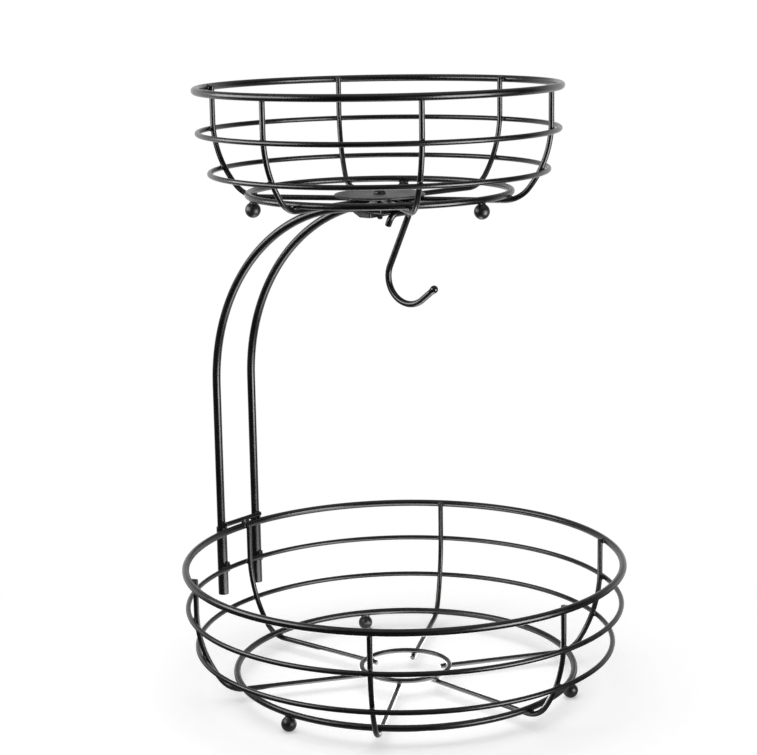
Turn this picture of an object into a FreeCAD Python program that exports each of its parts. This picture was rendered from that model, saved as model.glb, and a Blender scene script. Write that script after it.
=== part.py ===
import FreeCAD, Part
import math
import os
import re
import Sketcher

# Two-tier wire fruit bowl with a banana hanger, in millimetres, +Z up.
# The origin is on the floor under the axis of the lower bowl. The two arched
# posts stand at the back (+Y), and the open side of the hook faces the front (-Y).
# Radii and heights of wires are those of their centrelines.

os.makedirs("parts", exist_ok=True)
V = FreeCAD.Vector
doc = FreeCAD.newDocument("FruitBowl")
sheet = doc.addObject("Spreadsheet::Sheet", "Sizes")

# Every size that can be set by itself
sizes = {
    # Wires
    "rim_wire": 4.8,  # diameter of both rims
    "hoop_wire": 3.4,  # diameter of the four hoops and of the rear bar across the posts
    "rib_wire": 3.6,  # diameter of the ribs
    "base_wire": 4.4,  # diameter of both base rings
    "centre_wire": 3.6,  # diameter of the ring in the middle of the lower floor
    "post_wire": 5.8,  # diameter of the posts
    "cross_wire": 3.8,  # diameter of the front bar between the posts
    "hook_wire": 4.3,  # diameter of the banana hook
    "wire_edge": 0.8,  # rounding of the edge at a cut end of wire
    "weld_gap": 0.05,  # air left between two welded surfaces
    # Feet, the same under both bowls
    "foot_ball": 10.1,  # diameter of a foot
    "foot_flat": 2.6,  # diameter of the flat under a foot
    # Lower bowl
    "lower_base_radius": 114.9,  # radius of the lower base ring
    "lower_flare": 32.35,  # how far the lower rim lies outside its base ring
    "lower_wall": 74.05,  # height of the lower rim above its base ring
    "lower_step_1": 26.75,  # height from the lower rim down to the first hoop
    "lower_step_2": 26.75,  # height from the first hoop down to the second, lower bowl
    "lower_straight": 21.8,  # upright length of a lower rib below the rim
    "lower_bend": 19.4,  # radius of the tight bend at the foot of a lower rib
    "lower_tuck": 3.0,  # how far inside the base ring a lower rib becomes level
    "lower_rib_drop": 1.0,  # depth of a lower rib's end below the top of the rim
    "lower_rib_end": 25.0,  # radius at which a lower rib ends
    "lower_centre_radius": 30.0,  # radius of the ring in the middle of the lower floor
    "lower_rib_1_degrees": -150.4,  # direction of lower rib 1
    "lower_rib_2_degrees": -97.8,  # direction of lower rib 2
    "lower_rib_3_degrees": -35.0,  # direction of lower rib 3
    "lower_rib_4_degrees": 27.0,  # direction of lower rib 4
    "lower_rib_5_degrees": 89.7,  # direction of lower rib 5
    "lower_rib_6_degrees": 144.5,  # direction of lower rib 6
    "lower_foot_1_degrees": -68.7,  # direction of lower foot 1
    "lower_foot_2_degrees": 53.0,  # direction of lower foot 2
    "lower_foot_3_degrees": 177.3,  # direction of lower foot 3
    # Stand
    "post_spacing": 36.0,  # distance between the two posts
    "arch_radius": 133.4,  # radius of the quarter arch of a post
    "post_run": 20.0,  # level length of a post in front of its arch
    "stand_height": 326.3,  # height of the level end of a post
    "socket_wall": 0.7,  # wall of the tube that a post plugs into
    "socket_fit": 0.1,  # air around a post in its tube
    "socket_length": 50.0,  # length of the tube
    "socket_floor": 1.5,  # thickness of the tube's closed end
    "tab_width": 3.0,  # width of the tab between tube and hoop
    "tab_height": 7.0,  # height of the tab between tube and hoop
    "cross_overhang": 0.4,  # length of the rear bar beyond a post's axis
    "cross_lift": 0.8,  # height of the rear bar's underside above the lower rim
    "front_bar_inset": 3.0,  # distance of the front bar's axis from the rods' front ends
    "front_bar_drop": 1.9,  # depth of the front bar's axis below that of the rods
    "plate_sheet": 3.0,  # thickness of the saddle plate
    "plate_ahead": 6.7,  # length of the saddle plate in front of the screw
    "plate_behind": 8.4,  # length of the saddle plate behind the screw
    "plate_slope": 5.5,  # length of the slope on the plate's rear end
    "plate_overhang": 0.5,  # width of the saddle plate beyond a post's axis
    "plate_corner": 1.2,  # corner radius of the saddle plate
    # Banana hook
    "hook_pitch": 19.0,  # distance between the hook's shank and its short leg
    "hook_corner": 4.5,  # bend radius at the top of the hook
    "hook_lean": 25.0,  # angle of the hook's legs from upright, towards the posts
    "hook_tail": 8.7,  # length of the short leg
    "hook_shank": 41.0,  # length of the shank above the curl
    "hook_curl": 17.3,  # radius of the curl
    "hook_turn": 153.0,  # angle that the curl turns through
    "hook_lip": 12.8,  # straight length after the curl
    "hook_ball": 5.4,  # diameter of the round end that the lip swells into
    "hook_swell_degrees": 10.0,  # angle at which the lip widens into that end
    # Upper bowl
    "upper_base_radius": 86.3,  # radius of the upper base ring
    "upper_flare": 32.35,  # how far the upper rim lies outside its base ring
    "upper_wall": 68.2,  # height of the upper rim above its base ring
    "upper_step_1": 27.5,  # height from the upper rim down to the first hoop
    "upper_step_2": 26.3,  # height from the first hoop down to the second, upper bowl
    "upper_straight": 21.9,  # upright length of an upper rib below the rim
    "upper_bend": 20.7,  # radius of the tight bend at the foot of an upper rib
    "upper_tuck": 3.0,  # how far inside the base ring an upper rib becomes level
    "upper_rib_drop": 1.0,  # depth of an upper rib's end below the top of the rim
    "upper_rib_end": 12.0,  # radius at which an upper rib ends
    "upper_rib_1_degrees": -128.1,  # direction of upper rib 1
    "upper_rib_2_degrees": -67.4,  # direction of upper rib 2
    "upper_rib_3_degrees": -8.4,  # direction of upper rib 3
    "upper_rib_4_degrees": 52.9,  # direction of upper rib 4
    "upper_rib_5_degrees": 113.7,  # direction of upper rib 5
    "upper_rib_6_degrees": -179.0,  # direction of upper rib 6
    "upper_foot_1_degrees": -93.3,  # direction of upper foot 1
    "upper_foot_2_degrees": 27.5,  # direction of upper foot 2
    "upper_foot_3_degrees": 148.0,  # direction of upper foot 3
    # Centre fixing of the upper bowl
    "clamp_setback": 3.0,  # distance of the screw in front of the arches' end
    "disc_radius": 30.0,  # radius of the centre disc
    "disc_sheet": 1.5,  # thickness of the centre disc
    "screw_size": 4.0,  # diameter of the clamp screw
    "screw_play": 0.3,  # air around the screw in the disc
    "thread_play": 0.05,  # air around the screw in the plate
    "screw_head_width": 8.0,  # diameter of the screw's head
    "screw_head_height": 2.6,  # height of the screw's head
    "screw_stub": 2.9,  # length of the screw below the plate
}

rules = {}
for row, (alias, value) in enumerate(sizes.items(), 1):
    sheet.set("A%d" % row, alias)
    sheet.set("B%d" % row, str(value))
    sheet.setAlias("B%d" % row, alias)


def rule(alias, text):
    """A size that follows from others. It is written out in full wherever it is used."""
    rules[alias] = text


def full(text):
    """The expression with every rule opened and every alias pointed at the sheet."""
    def swap(match):
        word = match.group(0)
        if word in rules:
            return "(" + full(rules[word]) + ")"
        if word in sizes:
            return "Sizes." + word
        return word
    return re.sub(r"[a-z][a-z0-9_]*", swap, text)


def val(text):
    """The number that an expression gives now."""
    return float(sheet.evalExpression(full(text)))


# Heights of the lower bowl
rule("foot_rise", "sqrt(foot_ball ^ 2 - foot_flat ^ 2) / 2")
rule("lower_base_height", "foot_rise + foot_ball / 2 + base_wire / 2 + weld_gap")
rule("lower_rim_height", "lower_base_height + lower_wall")
rule("lower_rim_radius", "lower_base_radius + lower_flare")
# Level of the upper bowl: its ribs lie on the level ends of the posts
rule("upper_floor", "stand_height + post_wire / 2 + weld_gap + rib_wire / 2")
rule("upper_rim_radius", "upper_base_radius + upper_flare")

# Shape of a rib, in the upright plane through the bowl's axis. From the top it runs
# straight down inside the rim, then follows a wide arc and a tight one, and runs level
# under the base ring. The wide arc is the one that is tangent to the other three.
rule("under_gap", "rib_wire / 2 + base_wire / 2 + weld_gap")
rule("hoop_gap", "rib_wire / 2 + hoop_wire / 2 + weld_gap")
for bowl in ("lower", "upper"):
    rule(bowl + "_sink", "%s_bend - sqrt((%s_bend - under_gap) ^ 2 - %s_tuck ^ 2)"
         % (bowl, bowl, bowl))
rule("lower_floor", "lower_base_height - lower_sink")
rule("upper_base_height", "upper_floor + upper_sink")
rule("upper_rim_height", "upper_base_height + upper_wall")
for bowl in ("lower", "upper"):
    rule(bowl + "_side", "%s_rim_radius - rim_wire / 2 - rib_wire / 2 - weld_gap" % bowl)
    rule(bowl + "_knee", "%s_rim_height - %s_straight" % (bowl, bowl))
    rule(bowl + "_level", "%s_base_radius - %s_tuck" % (bowl, bowl))
    rule(bowl + "_run", "%s_side - %s_level" % (bowl, bowl))
    rule(bowl + "_drop", "%s_knee - %s_floor" % (bowl, bowl))
    rule(bowl + "_sweep", "(%s_run ^ 2 + %s_drop ^ 2 - 2 * %s_drop * %s_bend)"
         " / (2 * (%s_run - %s_bend))" % ((bowl,) * 6))
    rule(bowl + "_hoop_1_height", "%s_rim_height - %s_step_1" % (bowl, bowl))
    rule(bowl + "_hoop_2_height", "%s_hoop_1_height - %s_step_2" % (bowl, bowl))
    for number in (1, 2):
        hoop = "%s_hoop_%d" % (bowl, number)
        rule(hoop + "_below", "max(0; %s_knee - %s_height)" % (bowl, hoop))
        rule(hoop + "_radius", "%s_side - %s_sweep + sqrt((%s_sweep + hoop_gap) ^ 2"
             " - %s_below ^ 2)" % (bowl, bowl, bowl, hoop))

rule("lower_top", "lower_rim_height + rim_wire / 2 - lower_rib_drop")
rule("upper_top", "upper_rim_height + rim_wire / 2 - upper_rib_drop")

# Places in the stand. The tubes are welded to the outside of the lower rim.
rule("half_spacing", "post_spacing / 2")
rule("socket_bore", "post_wire / 2 + socket_fit")
rule("socket_radius", "socket_bore + socket_wall")
rule("socket_reach", "lower_rim_radius + rim_wire / 2 + weld_gap + socket_radius")
rule("post_back", "sqrt(socket_reach ^ 2 - half_spacing ^ 2)")
rule("socket_top", "lower_rim_height + rim_wire / 2")
rule("socket_foot", "socket_top - socket_length")
rule("post_foot", "socket_foot + socket_floor + weld_gap")
rule("arch_start", "stand_height - arch_radius")
rule("arch_end", "post_back - arch_radius")
rule("upper_axis", "arch_end - clamp_setback")
rule("cross_back", "post_back - post_wire / 2 - hoop_wire / 2 - weld_gap")
rule("cross_height", "lower_rim_height + rim_wire / 2 + hoop_wire / 2 + cross_lift")
rule("post_front", "arch_end - post_run")
rule("front_bar_back", "post_front + front_bar_inset")
rule("front_bar_height", "stand_height - front_bar_drop")
# the bar's end meets the round side of the rod at the highest point of its edge
rule("front_bar_edge", "max(0; front_bar_drop - cross_wire / 2)")
rule("front_bar_half", "half_spacing - sqrt((post_wire / 2 + weld_gap) ^ 2 - front_bar_edge ^ 2)")
# the plate lies clear of the arches where they begin to turn down
rule("plate_past", "max(0; plate_behind - clamp_setback)")
rule("plate_dip", "arch_radius - sqrt(arch_radius ^ 2 - plate_past ^ 2)")
rule("plate_top", "stand_height - post_wire / 2 - weld_gap - plate_dip")
rule("plate_bottom", "plate_top - plate_sheet")
# the bar lies behind the plane of the hook's legs
rule("hook_reach", "cross_wire / 2 + hook_wire / 2 + weld_gap")
rule("hook_back", "front_bar_back - hook_reach * cos(hook_lean * 1 deg)")
rule("hook_top", "front_bar_height - hook_reach * sin(hook_lean * 1 deg)")
rule("disc_bottom", "upper_floor + rib_wire / 2 + weld_gap")
rule("disc_top", "disc_bottom + disc_sheet")
doc.recompute()


def drive(obj, prop, text):
    """Bind one property of an object to an expression of the sheet's sizes."""
    obj.setExpression(prop, full(text))


def place(obj, x, y, z, turn):
    """Bind an object's position, and its turn about the upright axis."""
    obj.Placement = FreeCAD.Placement(V(0, 0, 0), FreeCAD.Rotation(V(0, 0, 1), 1))
    drive(obj, "Placement.Base.x", x)
    drive(obj, "Placement.Base.y", y)
    drive(obj, "Placement.Base.z", z)
    drive(obj, "Placement.Rotation.Angle", turn)


pieces = []


def keep(obj, label):
    """Name a finished piece and put it on the list of those that are written out."""
    obj.Label = label
    pieces.append(obj)
    return obj


def new_body(label, x="0", y="0", z="0", turn="0"):
    body = doc.addObject("PartDesign::Body", label + "_body")
    place(body, x, y, z, turn)
    return keep(body, label)


def new_sketch(body, plane, name, lift="0"):
    """A sketch on one of the body's own planes, lifted along the plane's normal."""
    sketch = body.newObject("Sketcher::SketchObject", name)
    for feature in body.Origin.OriginFeatures:
        if feature.Role == plane:
            sketch.AttachmentSupport = [(feature, "")]
    sketch.MapMode = "FlatFace"
    drive(sketch, "AttachmentOffset.Base.z", lift)
    return sketch


def dim(sketch, kind, where, text):
    """A dimension of a sketch, bound to an expression."""
    index = sketch.addConstraint(Sketcher.Constraint(kind, *where, val(text)))
    drive(sketch, "Constraints[%d]" % index, text)


def line(sketch, a, b):
    return sketch.addGeometry(Part.LineSegment(V(a[0], a[1], 0), V(b[0], b[1], 0)), False)


def arc(sketch, centre, radius, start, end):
    circle = Part.Circle(V(centre[0], centre[1], 0), V(0, 0, 1), radius)
    return sketch.addGeometry(Part.ArcOfCircle(circle, start, end), False)


def disc_profile(sketch, x, diameter):
    """A full circle on the sketch's own X axis."""
    circle = Part.Circle(V(val(x), 0, 0), V(0, 0, 1), val(diameter) / 2)
    index = sketch.addGeometry(circle, False)
    sketch.addConstraint(Sketcher.Constraint("PointOnObject", index, 3, -1))
    if x == "0":
        sketch.addConstraint(Sketcher.Constraint("PointOnObject", index, 3, -2))
    else:
        dim(sketch, "DistanceX", (index, 3), x)
    dim(sketch, "Diameter", (index,), diameter)


def pipe(body, label, profile, path, edges):
    feature = body.newObject("PartDesign::AdditivePipe", label + "_pipe")
    feature.Profile = profile
    feature.Spine = (path, ["Edge%d" % (i + 1) for i in range(edges)])
    return feature


def round_ends(body, label, faces):
    """Round the circular edge of each flat end of a wire. A face is picked by its own
    direction, given as a list of vectors."""
    doc.recompute()
    base = body.Tip
    edges = base.Shape.Edges
    found = []
    for face in base.Shape.Faces:
        if not isinstance(face.Surface, Part.Plane):
            continue
        normal = face.normalAt(0, 0)
        if not any(normal.dot(way) > 0.99 for way in faces):
            continue
        for i, edge in enumerate(edges):
            if edge.isSame(face.OuterWire.Edges[0]):
                found.append("Edge%d" % (i + 1))
    rounding = body.newObject("PartDesign::Fillet", label + "_ends")
    rounding.Base = (base, found)
    drive(rounding, "Radius", "wire_edge")


def ring(label, radius, wire, height, back="0"):
    """A closed ring of round wire."""
    torus = doc.addObject("Part::Torus", label + "_torus")
    drive(torus, "Radius1", radius)
    drive(torus, "Radius2", wire + " / 2")
    place(torus, "0", back, height, "0")
    return keep(torus, label)


def rib(label, bowl, turn, back="0"):
    """One bent rib: a path in the body's XZ plane and a round section swept along it."""
    body = new_body(label, "0", back, "0", turn)
    path = new_sketch(body, "XZ_Plane", label + "_path")
    side = val(bowl + "_side")
    top = val(bowl + "_top")
    knee = val(bowl + "_knee")
    floor = val(bowl + "_floor")
    level = val(bowl + "_level")
    sweep = val(bowl + "_sweep")
    bend = val(bowl + "_bend")
    end = val(bowl + "_rib_end")
    # the two arcs meet where the line through their centres cuts both
    wide = (side - sweep, knee)
    tight = (level, floor + bend)
    meet = math.atan2(tight[1] - wide[1], tight[0] - wide[0])
    line(path, (side, top), (side, knee))
    arc(path, wide, sweep, meet, 0.0)
    arc(path, tight, bend, -math.pi / 2, meet)
    line(path, (level, floor), (end, floor))
    path.addConstraint(Sketcher.Constraint("Vertical", 0))
    path.addConstraint(Sketcher.Constraint("Horizontal", 3))
    path.addConstraint(Sketcher.Constraint("Tangent", 0, 2, 1, 2))
    path.addConstraint(Sketcher.Constraint("Tangent", 1, 1, 2, 2))
    path.addConstraint(Sketcher.Constraint("Tangent", 2, 1, 3, 1))
    dim(path, "DistanceX", (0, 1), bowl + "_side")
    dim(path, "DistanceY", (0, 1), bowl + "_top")
    dim(path, "DistanceY", (0, 2), bowl + "_knee")
    dim(path, "DistanceX", (3, 1), bowl + "_level")
    dim(path, "DistanceY", (3, 1), bowl + "_floor")
    dim(path, "Radius", (2,), bowl + "_bend")
    dim(path, "DistanceX", (3, 2), bowl + "_rib_end")
    section = new_sketch(body, "XY_Plane", label + "_section", bowl + "_top")
    disc_profile(section, bowl + "_side", "rib_wire")
    pipe(body, label, section, path, 4)
    round_ends(body, label, [V(0, 0, 1), V(-1, 0, 0)])


def foot(label, radius, turn, ring_bottom, back="0"):
    """A ball under a base ring, with a small flat underneath."""
    body = doc.addObject("PartDesign::Body", label + "_body")
    keep(body, label)
    drive(body, "Placement.Base.x", "%s * cos(%s * 1 deg)" % (radius, turn))
    drive(body, "Placement.Base.y", "%s + %s * sin(%s * 1 deg)" % (back, radius, turn))
    drive(body, "Placement.Base.z", ring_bottom + " - weld_gap - foot_ball / 2")
    sketch = new_sketch(body, "XZ_Plane", label + "_section")
    half = val("foot_ball") / 2
    flat = val("foot_flat") / 2
    low = -math.sqrt(half ** 2 - flat ** 2)
    arc(sketch, (0, 0), half, math.atan2(low, flat), math.pi / 2)
    line(sketch, (0, half), (0, low))
    line(sketch, (0, low), (flat, low))
    sketch.addConstraint(Sketcher.Constraint("Coincident", 0, 3, -1, 1))
    sketch.addConstraint(Sketcher.Constraint("Coincident", 0, 2, 1, 1))
    sketch.addConstraint(Sketcher.Constraint("Coincident", 1, 2, 2, 1))
    sketch.addConstraint(Sketcher.Constraint("Coincident", 2, 2, 0, 1))
    sketch.addConstraint(Sketcher.Constraint("PointOnObject", 1, 1, -2))
    sketch.addConstraint(Sketcher.Constraint("Vertical", 1))
    sketch.addConstraint(Sketcher.Constraint("Horizontal", 2))
    dim(sketch, "Diameter", (0,), "foot_ball")
    dim(sketch, "DistanceX", (2, 1, 2, 2), "foot_flat / 2")
    ball = body.newObject("PartDesign::Revolution", label + "_ball")
    ball.Profile = sketch
    ball.ReferenceAxis = (sketch, ["V_Axis"])
    ball.Angle = 360


# Lower bowl
ring("lower_rim", "lower_rim_radius", "rim_wire", "lower_rim_height")
ring("lower_upper_hoop", "lower_hoop_1_radius", "hoop_wire", "lower_hoop_1_height")
ring("lower_lower_hoop", "lower_hoop_2_radius", "hoop_wire", "lower_hoop_2_height")
ring("lower_base_ring", "lower_base_radius", "base_wire", "lower_base_height")
ring("lower_centre_ring", "lower_centre_radius", "centre_wire",
     "lower_floor + rib_wire / 2 + centre_wire / 2 + weld_gap")
for number in range(1, 7):
    rib("lower_rib_%d" % number, "lower", "lower_rib_%d_degrees" % number)
for number in range(1, 4):
    foot("lower_foot_%d" % number, "lower_base_radius", "lower_foot_%d_degrees" % number,
         "lower_base_height - base_wire / 2")

# Upper bowl
ring("upper_rim", "upper_rim_radius", "rim_wire", "upper_rim_height", "upper_axis")
ring("upper_upper_hoop", "upper_hoop_1_radius", "hoop_wire", "upper_hoop_1_height", "upper_axis")
ring("upper_lower_hoop", "upper_hoop_2_radius", "hoop_wire", "upper_hoop_2_height", "upper_axis")
ring("upper_base_ring", "upper_base_radius", "base_wire", "upper_base_height", "upper_axis")
for number in range(1, 7):
    rib("upper_rib_%d" % number, "upper", "upper_rib_%d_degrees" % number, "upper_axis")
for number in range(1, 4):
    foot("upper_foot_%d" % number, "upper_base_radius", "upper_foot_%d_degrees" % number,
         "upper_base_height - base_wire / 2", "upper_axis")


# Posts and the tubes that they plug into
def post(label, sign):
    """An upright rod that turns forwards in a quarter arch and ends level."""
    body = new_body(label, sign + "half_spacing", "0", "0", "0")
    path = new_sketch(body, "YZ_Plane", label + "_path")
    back = val("post_back")
    low = val("post_foot")
    start = val("arch_start")
    radius = val("arch_radius")
    line(path, (back, low), (back, start))
    arc(path, (back - radius, start), radius, 0.0, math.pi / 2)
    line(path, (back - radius, start + radius), (val("post_front"), start + radius))
    path.addConstraint(Sketcher.Constraint("Vertical", 0))
    path.addConstraint(Sketcher.Constraint("Horizontal", 2))
    path.addConstraint(Sketcher.Constraint("Tangent", 0, 2, 1, 1))
    path.addConstraint(Sketcher.Constraint("Tangent", 1, 2, 2, 1))
    dim(path, "DistanceX", (0, 1), "post_back")
    dim(path, "DistanceY", (0, 1), "post_foot")
    dim(path, "Radius", (1,), "arch_radius")
    dim(path, "DistanceY", (2, 1), "stand_height")
    dim(path, "DistanceX", (2, 2), "post_front")
    section = new_sketch(body, "XY_Plane", label + "_section", "post_foot")
    circle = Part.Circle(V(0, back, 0), V(0, 0, 1), val("post_wire") / 2)
    section.addGeometry(circle, False)
    section.addConstraint(Sketcher.Constraint("PointOnObject", 0, 3, -2))
    dim(section, "DistanceY", (0, 3), "post_back")
    dim(section, "Diameter", (0,), "post_wire")
    pipe(body, label, section, path, 3)
    round_ends(body, label, [V(0, -1, 0), V(0, 0, -1)])


def socket(label, sign):
    """A closed-ended tube on the rim's outside, with a tab to the upper hoop. Its own X
    axis points at the axis of the bowl."""
    body = new_body(label, sign + "half_spacing", "post_back", "socket_foot",
                    "-90 " + ("+" if sign == "-" else "-") + " atan(half_spacing / post_back) / 1 deg")
    wall = new_sketch(body, "XY_Plane", label + "_wall")
    disc_profile(wall, "0", "2 * socket_radius")
    tube = body.newObject("PartDesign::Pad", label + "_tube")
    tube.Profile = wall
    drive(tube, "Length", "socket_length")
    hole = new_sketch(body, "XY_Plane", label + "_hole", "socket_length")
    disc_profile(hole, "0", "2 * socket_bore")
    bore = body.newObject("PartDesign::Pocket", label + "_bore")
    bore.Profile = hole
    drive(bore, "Length", "socket_length - socket_floor")
    outline = new_sketch(body, "XY_Plane", label + "_tab_outline",
                         "lower_hoop_1_height - socket_foot - tab_height / 2")
    near = val("socket_bore + socket_wall / 2")
    far = val("socket_reach - lower_hoop_1_radius - hoop_wire / 2 - weld_gap")
    wide = val("tab_width") / 2
    line(outline, (near, -wide), (far, -wide))
    line(outline, (far, -wide), (far, wide))
    line(outline, (far, wide), (near, wide))
    line(outline, (near, wide), (near, -wide))
    for side in range(4):
        outline.addConstraint(Sketcher.Constraint("Coincident", side, 2, (side + 1) % 4, 1))
    outline.addConstraint(Sketcher.Constraint("Horizontal", 0))
    outline.addConstraint(Sketcher.Constraint("Horizontal", 2))
    outline.addConstraint(Sketcher.Constraint("Vertical", 1))
    outline.addConstraint(Sketcher.Constraint("Symmetric", 0, 1, 2, 2, -1))
    dim(outline, "DistanceX", (0, 1), "socket_bore + socket_wall / 2")
    dim(outline, "DistanceX", (0, 2),
        "socket_reach - lower_hoop_1_radius - hoop_wire / 2 - weld_gap")
    dim(outline, "DistanceY", (1, 1, 1, 2), "tab_width")
    tab = body.newObject("PartDesign::Pad", label + "_tab")
    tab.Profile = outline
    drive(tab, "Length", "tab_height")


post("post_left", "-")
post("post_right", "+")
socket("post_socket_left", "-")
socket("post_socket_right", "+")


# Two straight bars across the posts: one in front of the upright rods, just above the rim,
# and one between the level rods, close to their front ends. Only the first has free ends.
def bar(label, wire, half, back, height):
    body = new_body(label, "0", back, height, "0")
    sketch = new_sketch(body, "YZ_Plane", label + "_section", "-(%s)" % half)
    disc_profile(sketch, "0", wire)
    rod = body.newObject("PartDesign::Pad", label + "_rod")
    rod.Profile = sketch
    drive(rod, "Length", "2 * (%s)" % half)
    return body


rear = bar("rear_cross_bar", "hoop_wire", "half_spacing + cross_overhang", "cross_back",
           "cross_height")
round_ends(rear, "rear_cross_bar", [V(1, 0, 0), V(-1, 0, 0)])
bar("front_cross_bar", "cross_wire", "front_bar_half", "front_bar_back", "front_bar_height")


# Saddle plate: a thick sheet under the level ends of both posts, with a tapped hole. Its
# rear end slopes up to the posts, where they begin to arch down. Its own X axis runs
# across, its own Y axis points backwards, and its origin is on the screw's axis.
def plate():
    body = new_body("saddle_plate", "0", "upper_axis", "plate_bottom", "0")
    half = "half_spacing + plate_overhang"
    outline = new_sketch(body, "YZ_Plane", "saddle_outline", "-(%s)" % half)
    front = -val("plate_ahead")
    back = val("plate_behind")
    foot = back - val("plate_slope")
    thick = val("plate_sheet")
    corners = [(front, 0), (foot, 0), (back, thick), (front, thick)]
    for i in range(4):
        line(outline, corners[i], corners[(i + 1) % 4])
    for i in range(4):
        outline.addConstraint(Sketcher.Constraint("Coincident", i, 2, (i + 1) % 4, 1))
    outline.addConstraint(Sketcher.Constraint("PointOnObject", 0, 1, -1))
    outline.addConstraint(Sketcher.Constraint("Horizontal", 0))
    outline.addConstraint(Sketcher.Constraint("Horizontal", 2))
    outline.addConstraint(Sketcher.Constraint("Vertical", 3))
    dim(outline, "DistanceX", (0, 2), "plate_behind - plate_slope")
    dim(outline, "DistanceX", (2, 1), "plate_behind")
    dim(outline, "DistanceY", (2, 1), "plate_sheet")
    dim(outline, "DistanceX", (3, 2, 2, 1), "plate_ahead + plate_behind")
    pad = body.newObject("PartDesign::Pad", "saddle_sheet")
    pad.Profile = outline
    drive(pad, "Length", "2 * (%s)" % half)
    hole = new_sketch(body, "XY_Plane", "saddle_hole_outline", "plate_sheet")
    disc_profile(hole, "0", "screw_size + 2 * thread_play")
    cut = body.newObject("PartDesign::Pocket", "saddle_hole")
    cut.Profile = hole
    drive(cut, "Length", "plate_sheet")
    doc.recompute()
    # the two upright edges at the front corners and the two that slope are rounded
    wide = val(half)
    found = []
    base = body.Tip
    for i, edge in enumerate(base.Shape.Edges):
        a = edge.Vertexes[0].Point
        b = edge.Vertexes[-1].Point
        rises = abs(a.x - b.x) < 0.001 and abs(a.z - b.z) > 0.1
        if rises and abs(abs(a.x) - wide) < 0.001:
            found.append("Edge%d" % (i + 1))
    rounding = body.newObject("PartDesign::Fillet", "saddle_corners")
    rounding.Base = (base, found)
    drive(rounding, "Radius", "plate_corner")


plate()


def turned(label, height, points):
    """A round piece: its half section is given by corners (radius, height) as expressions,
    closed by straight lines and turned about the upright axis of the upper bowl."""
    body = new_body(label, "0", "upper_axis", height, "0")
    sketch = new_sketch(body, "XZ_Plane", label + "_section")
    spots = [(val(x), val(y)) for x, y in points]
    count = len(points)
    for i in range(count):
        line(sketch, spots[i], spots[(i + 1) % count])
    for i in range(count):
        sketch.addConstraint(Sketcher.Constraint("Coincident", i, 2, (i + 1) % count, 1))
    for i, (x, y) in enumerate(points):
        if x == "0":
            sketch.addConstraint(Sketcher.Constraint("PointOnObject", i, 1, -2))
        else:
            dim(sketch, "DistanceX", (i, 1), x)
        if y == "0":
            sketch.addConstraint(Sketcher.Constraint("PointOnObject", i, 1, -1))
        else:
            dim(sketch, "DistanceY", (i, 1), y)
    turn = body.newObject("PartDesign::Revolution", label + "_turned")
    turn.Profile = sketch
    turn.ReferenceAxis = (sketch, ["V_Axis"])
    turn.Angle = 360
    return body


# Centre disc of the upper bowl: a flat plate with bevelled edges, on top of the ribs
turned("centre_disc", "disc_bottom", [
    ("screw_size / 2 + screw_play", "0"),
    ("disc_radius - disc_sheet / 3", "0"),
    ("disc_radius", "disc_sheet / 3"),
    ("disc_radius", "disc_sheet * 2 / 3"),
    ("disc_radius - disc_sheet / 3", "disc_sheet"),
    ("screw_size / 2 + screw_play", "disc_sheet")])

# Clamp screw: a domed head on the disc and a shank down through the disc, between the
# ribs' ends and the posts, and through the plate
rule("screw_head_bottom", "disc_top + weld_gap")
rule("screw_shank", "screw_head_bottom - plate_bottom + screw_stub")
turned("clamp_screw", "screw_head_bottom", [
    ("0", "-screw_shank"),
    ("screw_size / 4", "-screw_shank"),
    ("screw_size / 2", "-screw_shank + screw_size / 4"),
    ("screw_size / 2", "0"),
    ("screw_head_width / 2", "0"),
    ("screw_head_width / 2", "screw_head_height / 3"),
    ("screw_head_width * 0.43", "screw_head_height * 0.7"),
    ("screw_head_width * 0.28", "screw_head_height"),
    ("0", "screw_head_height")])


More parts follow.
